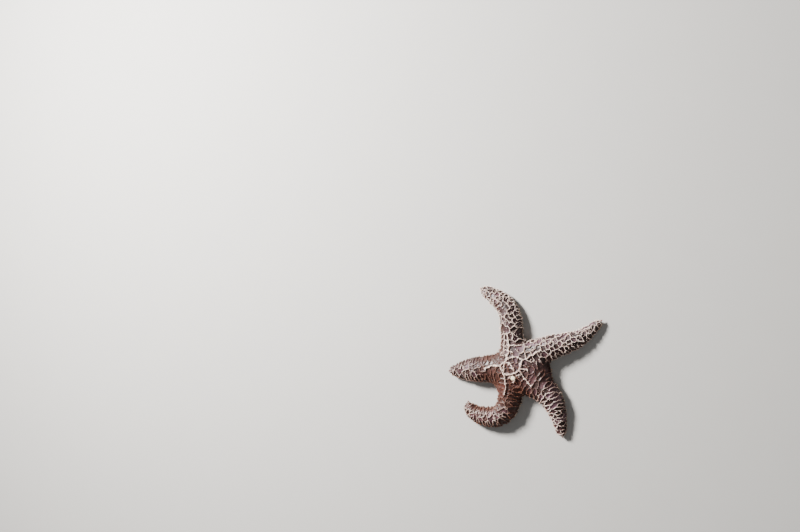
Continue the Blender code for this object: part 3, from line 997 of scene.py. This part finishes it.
ORAL_SPINES = plain_finish("oral_spines", (0.7, 0.55, 0.38), (0.5, 0.3, 0.2), 4 * MM)
TUBE_FEET = plain_finish("tube_feet", (0.72, 0.56, 0.3), (0.55, 0.36, 0.18), 3 * MM,
                         Coat_Weight=0.3, Coat_Roughness=0.2)
JAW_PLATE = plain_finish("jaw_plate", (0.66, 0.5, 0.36), (0.45, 0.29, 0.2), 1.5 * MM)
EYE_RED = plain_finish("eyespot_red", (0.2, 0.022, 0.014), (0.12, 0.012, 0.008), 0.8 * MM,
                       Coat_Weight=0.6, Coat_Roughness=0.1)

skin_polygons = read(skin_mesh.loops, "vertex_index").reshape(-1, 4)
skin_tree = BVHTree.FromPolygons(skin_co.tolist(), skin_polygons.tolist())
skin_vertices = kd_tree(skin_co)

DOWN = np.array((0, 0, -1.0))
FLOOR_CLEARANCE = 0.08 * MM
SLENDER = 0.42 * MM  # radius of the spines at the grooves and on the jaws
GROOVE_HALF_WIDTH = 4.5 * MM
GROOVE_SHARE = 0.34  # of the arm's half width, where that is less
GROOVE_EDGE = 2.6 * MM  # from a groove to the first oral spines
ORAL_START = 14 * MM  # from the disc's middle to the first of them
GROOVE_ROWS = ((13.5, 1.35), (16.0, 1.6))  # in mm along an arm: start and spacing
GROOVE_ROW_OUT = (1.0 * MM, 2.3 * MM)  # out from the groove
GROOVE_LIP = 6.5 * MM  # the groove's spines root no higher than this
FEET_ROWS = (-0.72, -0.26, 0.26, 0.72)  # shares of the groove's half width
FEET_START = (9.5, 10.6)  # in mm along an arm, for every other row
FEET_SPACING = 2.2
MOUTH_MIDDLE = 6.5 * MM  # height of the middle of the painted shade in the opening
MOUTH_STEPS = 90
MOUTH_PLEATS = 15
MOUTH_PLEAT_DEPTH = 0.35  # millimetres
MOUTH_OUTLINE = (  # radius and height in millimetres
    (0.0, 11.5), (9.4, 11.5), (9.4, 10.5), (8.6, 8.0), (7.6, 6.6), (6.2, 6.0), (4.8, 5.8),
    (3.4, 6.0), (2.2, 6.7), (1.3, 7.8), (0.8, 9.2), (0.3, 10.4), (0.0, 10.5))
JAW_SPINES = (  # each root from its jaw's middle: to the left, inward, up
    (-1.5, -1.2, -1.3), (1.5, -1.2, -1.3), (-1.0, 0.6, -1.2), (1.0, 0.6, -1.2),
    (-0.5, 2.2, -0.6), (0.5, 2.2, -0.6))


def from_below(points):
    """Where the skin is above each plan point: places, and the nearest vertex of each."""
    roots = []
    vertex = []
    for x, y in points:
        place = skin_tree.ray_cast(Vector((x, y, -0.01)), Vector((0, 0, 1)))[0]
        if place is not None:
            roots.append(place[:])
            vertex.append(skin_vertices.find(place)[1])
    return np.array(roots), np.array(vertex)


def down_to_floor(roots, directions, lengths):
    """Lengths cut back so that no tip goes below the floor."""
    fall = np.maximum(-directions[:, 2], 1e-6)
    return np.minimum(lengths, (roots[:, 2] - FLOOR_CLEARANCE) / fall)


def oral_spines():
    """Stout blunt spines under the body and round its lower edge."""
    bare = (GROOVE_HALF_WIDTH + GROOVE_EDGE) * (1 - 0.55 * share_along)
    lower = np.flatnonzero((ORAL >= 0.35) & (np.abs(across) > bare) & (from_disc > ORAL_START))
    kept = apart_enough(skin_co, RANDOM.permutation(lower), (2.1) * MM)
    down = normals[kept] * (1 - 0.6 * ORAL[kept])[:, None] + 0.6 * DOWN
    down = leaning(down, 0.10, len(kept))
    roots = skin_co[kept] - normals[kept] * 0.3 * MM
    long_ones = draw(2.3, 3.0, len(kept)) * (0.60 + 0.40 * ORAL[kept])
    lengths = down_to_floor(roots, down, long_ones * MM)
    widths = draw(0.55, 0.72, len(kept)) * MM * (1 - 0.25 * share_along[kept])
    shape = spine_shape(((0.9, 0), (0.8, 0.45), (1.0, 0.80), (0.72, 0.95)), SPINE_SIDES)
    add_spines("oral_spines", shape, roots, down, widths, lengths, kept, "skin_purple",
               ORAL_SPINES)


def groove_half_width(arm_index, places):
    places_of, widths, _ = SECTIONS[arm_index]
    return np.minimum(GROOVE_HALF_WIDTH, GROOVE_SHARE * np.interp(places, places_of, widths))


def groove_spines():
    """Slender spines in two rows on each edge of every groove."""
    points = []
    for k, arm in enumerate(ARMS):
        for side in (-1, 1):
            for (start, step), out in zip(GROOVE_ROWS, GROOVE_ROW_OUT):
                places = np.arange(start, arm.length - 4, step * (1)) * MM
                edge = groove_half_width(k, places) + out
                edge += draw(-0.12, 0.12, len(places)) * MM
                points.append(along_arm(k, places, side * edge))
    roots, vertex = from_below(np.vstack(points))
    low = roots[:, 2] < GROOVE_LIP
    roots, vertex = roots[low], vertex[low]
    down = leaning(DOWN, 0.13, len(roots))
    roots -= down * 0.3 * MM
    lengths = down_to_floor(roots, down, draw(2.2, 3.4, len(roots)) * MM)
    shape = spine_shape(((1.0, 0), (0.85, 0.6), (0.6, 0.92)), SPINE_SIDES)
    add_spines("groove_spines", shape, roots, down, SLENDER, lengths, vertex, "skin_purple",
               ORAL_SPINES)


def tube_feet():
    """Four rows of soft feet with suckers in every groove."""
    points = []
    for k, arm in enumerate(ARMS):
        for row, sideways in enumerate(FEET_ROWS):
            places = np.arange(FEET_START[row % 2], arm.length - 5, FEET_SPACING) * MM
            places += draw(-0.25, 0.25, len(places)) * MM
            points.append(along_arm(k, places, sideways * groove_half_width(k, places)))
    roots, vertex = from_below(np.vstack(points))
    down = leaning(DOWN, 0.10, len(roots))
    roots -= down * 0.4 * MM
    spare = draw(0.2, 2.2, len(roots)) * MM
    lengths = np.maximum((roots[:, 2] - spare) / -down[:, 2], 1.2 * MM)
    lengths = down_to_floor(roots, down, lengths)
    widths = draw(0.72, 0.90, len(roots)) * MM
    shape = spine_shape(((0.80, 0), (0.60, 0.3), (0.56, 0.62), (0.62, 0.86), (1.0, 0.91),
                         (0.95, 0.985)), 8)
    add_spines("tube_feet", shape, roots, down, widths, lengths, vertex, "jaw", TUBE_FEET)


def mouth():
    """The pleated membrane round the mouth, with painted shade where the opening is."""
    bm = spun(MOUTH_OUTLINE, MOUTH_STEPS)
    for v in bm.verts:
        fold = math.sin(MOUTH_PLEATS * math.atan2(v.co.y, v.co.x))
        v.co.z += MOUTH_PLEAT_DEPTH * fold * min(1.0, math.hypot(v.co.x, v.co.y) / 3)
    bmesh.ops.scale(bm, vec=(MM, MM, MM), verts=bm.verts[:])
    bmesh.ops.translate(bm, vec=(*DISC_CENTRE, 0), verts=bm.verts[:])
    make = Finish("mouth_membrane", Coat_Weight=0.3, Coat_Roughness=0.2)
    middle = make.node("ShaderNodeVectorMath", "Value", {"operation": "DISTANCE"},
                       {0: make.place, 1: (*DISC_CENTRE, MOUTH_MIDDLE)})
    folds = make.noise(1.2 * MM)
    colour = make.mix(folds, MOUTH_TAN, MOUTH_BROWN)
    # Painted shade darkens the membrane round the opening's middle.
    colour = make.mix(make.ramp(middle, 4.5 * MM, 1.5 * MM), colour, MOUTH_OPENING_SHADE)
    add_piece("mouth_membrane", mesh_from("mouth_membrane", bm),
              make.finish(colour, 0.45, (folds, 0.15 * MM)))


def jaws():
    """The jaws' own finish, and the spines on them."""
    roots = []
    directions = []
    for name in JAWS:
        jaw = NODES[name]
        jaw.data.materials.clear()
        jaw.data.materials.append(JAW_PLATE)
        middle = np.array(box_middle(name))
        inward = np.append(DISC_CENTRE, middle[2]) - middle
        inward /= norm(inward)
        left = np.array((-inward[1], inward[0], 0))
        for sideways, forward, lift in JAW_SPINES:
            roots.append(middle + (left * sideways + inward * forward - DOWN * lift) * MM)
            directions.append(inward * (0.5 + 0.25 * forward) + left * 0.1 * sideways + DOWN * 0.5)
    roots = np.array(roots)
    directions = unit(np.array(directions))
    vertex = np.array([skin_vertices.find(root)[1] for root in roots])
    lengths = down_to_floor(roots, directions, 2.4 * MM)
    shape = spine_shape(((1.0, 0), (0.9, 0.5), (0.6, 0.88)), 8)
    add_spines("mouth_spines", shape, roots, directions, SLENDER, lengths, vertex, "jaw",
               ORAL_SPINES)


def bead(node):
    """A smooth red ball in the box of a faceted eyespot."""
    bm = bmesh.new()
    bmesh.ops.create_uvsphere(bm, u_segments=20, v_segments=14, radius=0.5)
    fit_to_box(bm, node)
    name = f"{node}_bead"
    piece = add_piece(name, mesh_from(name, bm), EYE_RED)
    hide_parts(node)


PLATE_BRANCHES = ((0.35, 7), (0.68, 14), (2.0, 28))  # each: out to a share, and how many
PLATE_GROOVE_DEPTH = 0.09  # shares of the plate's size
PLATE_FLATTENED = 0.35


def madreporite():
    """A pale domed plate with winding grooves that run out from its middle; painted shade darkens
    the grooves.
    """
    bm = bmesh.new()
    bmesh.ops.create_uvsphere(bm, u_segments=120, v_segments=60, radius=0.5)
    grooves = []
    for v in bm.verts:
        turn = math.atan2(v.co.y, v.co.x)
        out = 2 * math.hypot(v.co.x, v.co.y)
        winding = noise.noise(Vector((v.co.x * 6, v.co.y * 6, 3.0))) * 7.0
        branches = next(number for reach, number in PLATE_BRANCHES if out < reach)
        groove = 0.5 - 0.5 * math.cos(branches * turn + winding)
        groove *= fade(0.06, 0.20, out)
        edge = 0.95 + 0.22 * noise.noise(Vector((1.6 * math.cos(turn), 1.6 * math.sin(turn), 9)))
        height = v.co.z
        if height > 0:
            height *= 1 - PLATE_FLATTENED * (1 - out ** 2)
            height -= PLATE_GROOVE_DEPTH * groove
        v.co = Vector((v.co.x * edge, v.co.y * edge, height))
        grooves.append(groove)
    fit_to_box(bm, "madreporite")
    mesh = mesh_from("madreporite_plate", bm)
    set_attribute(mesh, "groove", np.array(grooves))
    make = Finish("madreporite_plate")
    stain = make.ramp(make.noise(1.6 * MM, 4.0), 0.4, 0.75)
    colour = make.mix(stain * 0.4, PLATE_CREAM, PLATE_STAIN)
    # Painted shade darkens the grooves.
    colour = make.mix(make.attribute("groove") * 0.7, colour, PLATE_GROOVE_SHADE)
    finish = make.finish(colour, 0.55, (make.noise(0.25 * MM), 0.06 * MM))
    piece = add_piece("madreporite_plate", mesh, finish)
    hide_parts("madreporite")


oral_spines()
groove_spines()
tube_feet()
mouth()
jaws()
for eyespot in EYESPOTS:
    bead(eyespot)
madreporite()

# ---- camera, floor and light ----
CAMERA_TURN = (0.49, 29.935, -1.0)  # degrees about X, Y and Z, from straight down
FLOOR_HALF = 3.0
FLOOR_GAP = 0.02 * MM  # below what rests on it


def add_light(name, place, size, power, colour):
    data = bpy.data.lights.new(name, "AREA")
    data.shape = "DISK"
    data.size = size
    data.energy = power
    data.color = colour
    lamp = add_object(name, data)
    lamp.location = place
    lamp.rotation_euler = (-Vector(place)).to_track_quat("-Z", "Y").to_euler()


lens = bpy.data.cameras.new("camera")
lens.lens = 60
lens.sensor_width = 36
camera = add_object("camera", lens)
camera.location = (0.7246, 0.0944, 1.5804)
camera.rotation_euler = [math.radians(turn) for turn in CAMERA_TURN]
bpy.context.scene.camera = camera

sheet = bmesh.new()
bmesh.ops.create_grid(sheet, x_segments=1, y_segments=1, size=FLOOR_HALF)
floor = add_object("floor", mesh_from("floor", sheet))
floor.location = (0, 0, -FLOOR_GAP)
make = Finish("floor_paint")
paint = make.mix(make.noise(0.05) * 0.3, FLOOR_LIGHT, FLOOR_DARK)
floor.data.materials.append(make.finish(paint, 0.8))

add_light("key", place=(-0.84, 0.72, 0.84), size=0.36, power=118, colour=(1.0, 0.985, 0.96))
add_light("fill", place=(0.9, -0.5, 1.1), size=1.4, power=4, colour=(1.0, 0.99, 0.97))
world = bpy.data.worlds.new("sky")
bpy.context.scene.world = world
world.use_nodes = True
sky = world.node_tree.nodes["Background"].inputs
sky["Color"].default_value = (0.95, 0.97, 1.0, 1.0)
sky["Strength"].default_value = 0.22
